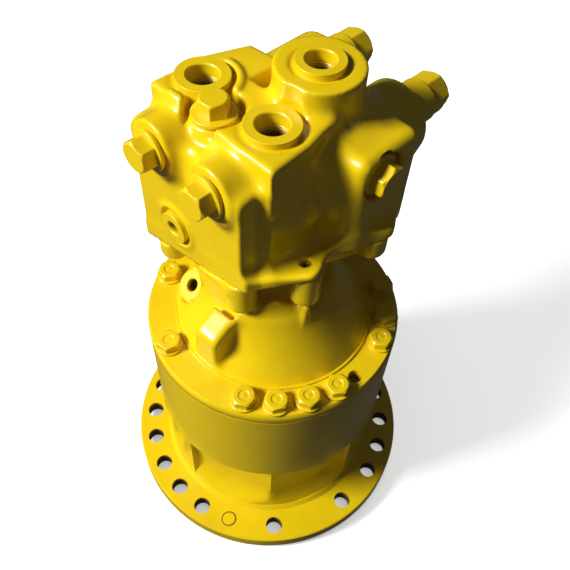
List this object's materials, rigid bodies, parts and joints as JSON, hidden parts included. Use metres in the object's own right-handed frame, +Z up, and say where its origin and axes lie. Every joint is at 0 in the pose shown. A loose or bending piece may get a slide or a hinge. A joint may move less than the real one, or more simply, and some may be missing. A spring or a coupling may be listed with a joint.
{
  "type": "swing motor",
  "caption": "Bent-axis hydraulic motor with a disc brake in its drum, flanged at the bottom, with a ported valve block on top; for slewing an excavator or crane.",
  "frame": {"origin": "centre of the bottom flange's mounting face, on the shaft axis", "axes": "+Z up the shaft axis, +X along the line of the two work ports"},
  "size_m": [0.3, 0.328, 0.488],
  "materials": {
    "yellow_paint": "gloss",
    "machined_steel": "machined",
    "cast_iron": "machined",
    "bronze": "machined",
    "rubber": "matt",
    "spring_steel": "blued",
    "friction_lining": "sintered"
  },
  "bodies": {
    "case": {"lower_case": "yellow_paint", "flange_blank_plug": "yellow_paint", "motor_housing": "yellow_paint", "dowel_pins": "machined_steel", "ring_bolts": "yellow_paint", "ring_washers": "yellow_paint", "register_seal": "rubber", "block_seal": "rubber", "valve_block": "yellow_paint", "block_screws": "yellow_paint", "plug_rings": "yellow_paint", "top_plug": "yellow_paint", "side_plug": "yellow_paint", "shuttle_spring": "spring_steel", "lower_outer_race": "machined_steel", "upper_outer_race": "machined_steel", "shaft_seal": "rubber", "seal_retainer": "spring_steel", "steel_plates": "machined_steel", "brake_springs": "spring_steel", "valve_plate": "bronze", "check_plug_a": "yellow_paint", "check_plug_b": "yellow_paint", "check_spring_a": "spring_steel", "check_spring_b": "spring_steel", "relief_body_a": "yellow_paint", "relief_body_b": "yellow_paint", "relief_spring_a": "spring_steel", "relief_spring_b": "spring_steel"},
    "shaft": {"drive_shaft": "machined_steel", "ball_keeper": "machined_steel", "lower_inner_race": "machined_steel", "lower_rollers": "machined_steel", "upper_inner_race": "machined_steel", "upper_rollers": "machined_steel", "bearing_spacer": "machined_steel", "friction_discs": "friction_lining"},
    "barrel": {"cylinder_block": "bronze", "centre_pin": "machined_steel", "centre_spring": "spring_steel"},
    "brake": {"brake_piston": "cast_iron", "brake_packings": "rubber"},
    "relief_a": {"relief_poppet_a": "machined_steel"},
    "relief_b": {"relief_poppet_b": "machined_steel"},
    "check_a": {"check_poppet_a": "machined_steel"},
    "check_b": {"check_poppet_b": "machined_steel"},
    "shuttle": {"shuttle_poppet": "machined_steel"},
    "piston_1": {"piston_1": "machined_steel"},
    "piston_2": {"piston_2": "machined_steel"},
    "piston_3": {"piston_3": "machined_steel"},
    "piston_4": {"piston_4": "machined_steel"},
    "piston_5": {"piston_5": "machined_steel"},
    "piston_6": {"piston_6": "machined_steel"},
    "piston_7": {"piston_7": "machined_steel"}
  },
  "joints": [
    {"name": "shaft_spin", "type": "hinge", "parent": "case", "child": "shaft", "pos_m": [0, 0, 0.1], "axis": [0, 0, 1], "continuous": true},
    {"name": "barrel_spin", "type": "hinge", "parent": "case", "child": "barrel", "pos_m": [0, 0, 0.228], "axis": [-0.2756, 0, 0.9613], "continuous": true},
    {"name": "piston_1_swing", "type": "hinge", "parent": "shaft", "child": "piston_1", "pos_m": [0.036, 0, 0.228], "axis": [0, 0, 1], "continuous": true},
    {"name": "piston_2_swing", "type": "hinge", "parent": "shaft", "child": "piston_2", "pos_m": [0.02245, 0.02815, 0.228], "axis": [0, 0, 1], "continuous": true},
    {"name": "piston_3_swing", "type": "hinge", "parent": "shaft", "child": "piston_3", "pos_m": [-0.00801, 0.0351, 0.228], "axis": [0, 0, 1], "continuous": true},
    {"name": "piston_4_swing", "type": "hinge", "parent": "shaft", "child": "piston_4", "pos_m": [-0.03243, 0.01562, 0.228], "axis": [0, 0, 1], "continuous": true},
    {"name": "piston_5_swing", "type": "hinge", "parent": "shaft", "child": "piston_5", "pos_m": [-0.03243, -0.01562, 0.228], "axis": [0, 0, 1], "continuous": true},
    {"name": "piston_6_swing", "type": "hinge", "parent": "shaft", "child": "piston_6", "pos_m": [-0.00801, -0.0351, 0.228], "axis": [0, 0, 1], "continuous": true},
    {"name": "piston_7_swing", "type": "hinge", "parent": "shaft", "child": "piston_7", "pos_m": [0.02245, -0.02815, 0.228], "axis": [0, 0, 1], "continuous": true},
    {"name": "brake_release", "type": "slide", "parent": "case", "child": "brake", "axis": [0, 0, 1], "range_m": [0, 0.0025], "stiffness_N_per_m": 20000, "springref_m": -0.005, "deforming": ["brake_springs"]},
    {"name": "relief_a_lift", "type": "slide", "parent": "case", "child": "relief_a", "axis": [0, 1, 0], "range_m": [0, 0.003], "stiffness_N_per_m": 8000, "springref_m": -0.002, "deforming": ["relief_spring_a"]},
    {"name": "check_a_lift", "type": "slide", "parent": "case", "child": "check_a", "axis": [0, -1, 0], "range_m": [0, 0.004], "stiffness_N_per_m": 500, "springref_m": -0.003, "deforming": ["check_spring_a"]},
    {"name": "relief_b_lift", "type": "slide", "parent": "case", "child": "relief_b", "axis": [0, 1, 0], "range_m": [0, 0.003], "stiffness_N_per_m": 8000, "springref_m": -0.002, "deforming": ["relief_spring_b"]},
    {"name": "check_b_lift", "type": "slide", "parent": "case", "child": "check_b", "axis": [0, -1, 0], "range_m": [0, 0.004], "stiffness_N_per_m": 500, "springref_m": -0.003, "deforming": ["check_spring_b"]},
    {"name": "shuttle_lift", "type": "slide", "parent": "case", "child": "shuttle", "axis": [1, 0, 0], "range_m": [0, 0.0025], "stiffness_N_per_m": 500, "springref_m": -0.003, "deforming": ["shuttle_spring"]}
  ],
  "couplings": [
    {"joint": "barrel_spin", "follows": "shaft_spin", "ratio": 1},
    {"joint": "piston_1_swing", "follows": "shaft_spin", "ratio": -1},
    {"joint": "piston_2_swing", "follows": "shaft_spin", "ratio": -1},
    {"joint": "piston_3_swing", "follows": "shaft_spin", "ratio": -1},
    {"joint": "piston_4_swing", "follows": "shaft_spin", "ratio": -1},
    {"joint": "piston_5_swing", "follows": "shaft_spin", "ratio": -1},
    {"joint": "piston_6_swing", "follows": "shaft_spin", "ratio": -1},
    {"joint": "piston_7_swing", "follows": "shaft_spin", "ratio": -1}
  ]
}
